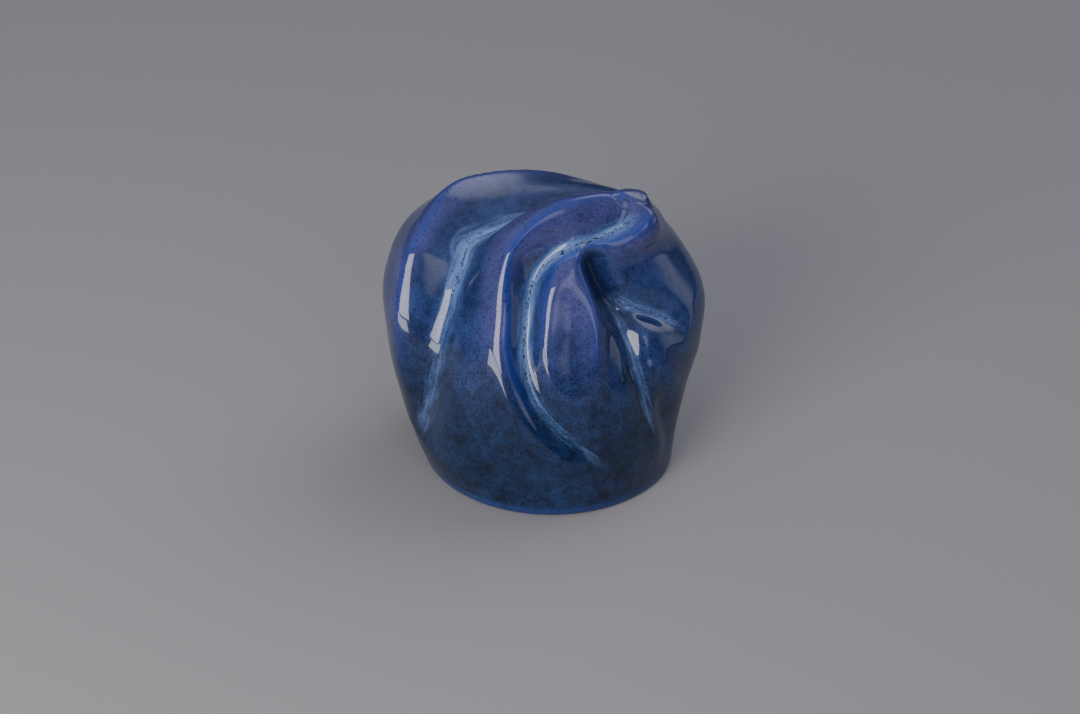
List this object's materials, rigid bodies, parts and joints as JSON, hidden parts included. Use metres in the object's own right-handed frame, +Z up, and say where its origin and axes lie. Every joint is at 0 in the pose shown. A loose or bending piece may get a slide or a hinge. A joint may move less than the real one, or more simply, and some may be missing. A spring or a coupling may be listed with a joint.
{
  "type": "funeral urn",
  "caption": "Keepsake urn: a hollow glazed ceramic shell drawn up into swirling folds, filled from below through a hole that a soft stopper closes",
  "frame": {"origin": "on the surface it stands on, under the middle of the urn's box", "axes": "+Z up, -Y to the front that the picture shows, +X to the right"},
  "size_m": [0.1061, 0.0983, 0.0969],
  "materials": {
    "glaze": "glossy variegated cobalt glaze over stoneware, milky blue where it pools in the folds, with fine dark speckle",
    "stopper_rubber": "matt soft rubber"
  },
  "bodies": {
    "root": {"urn_body": "glaze", "base_stopper": "stopper_rubber"}
  },
  "joints": []
}
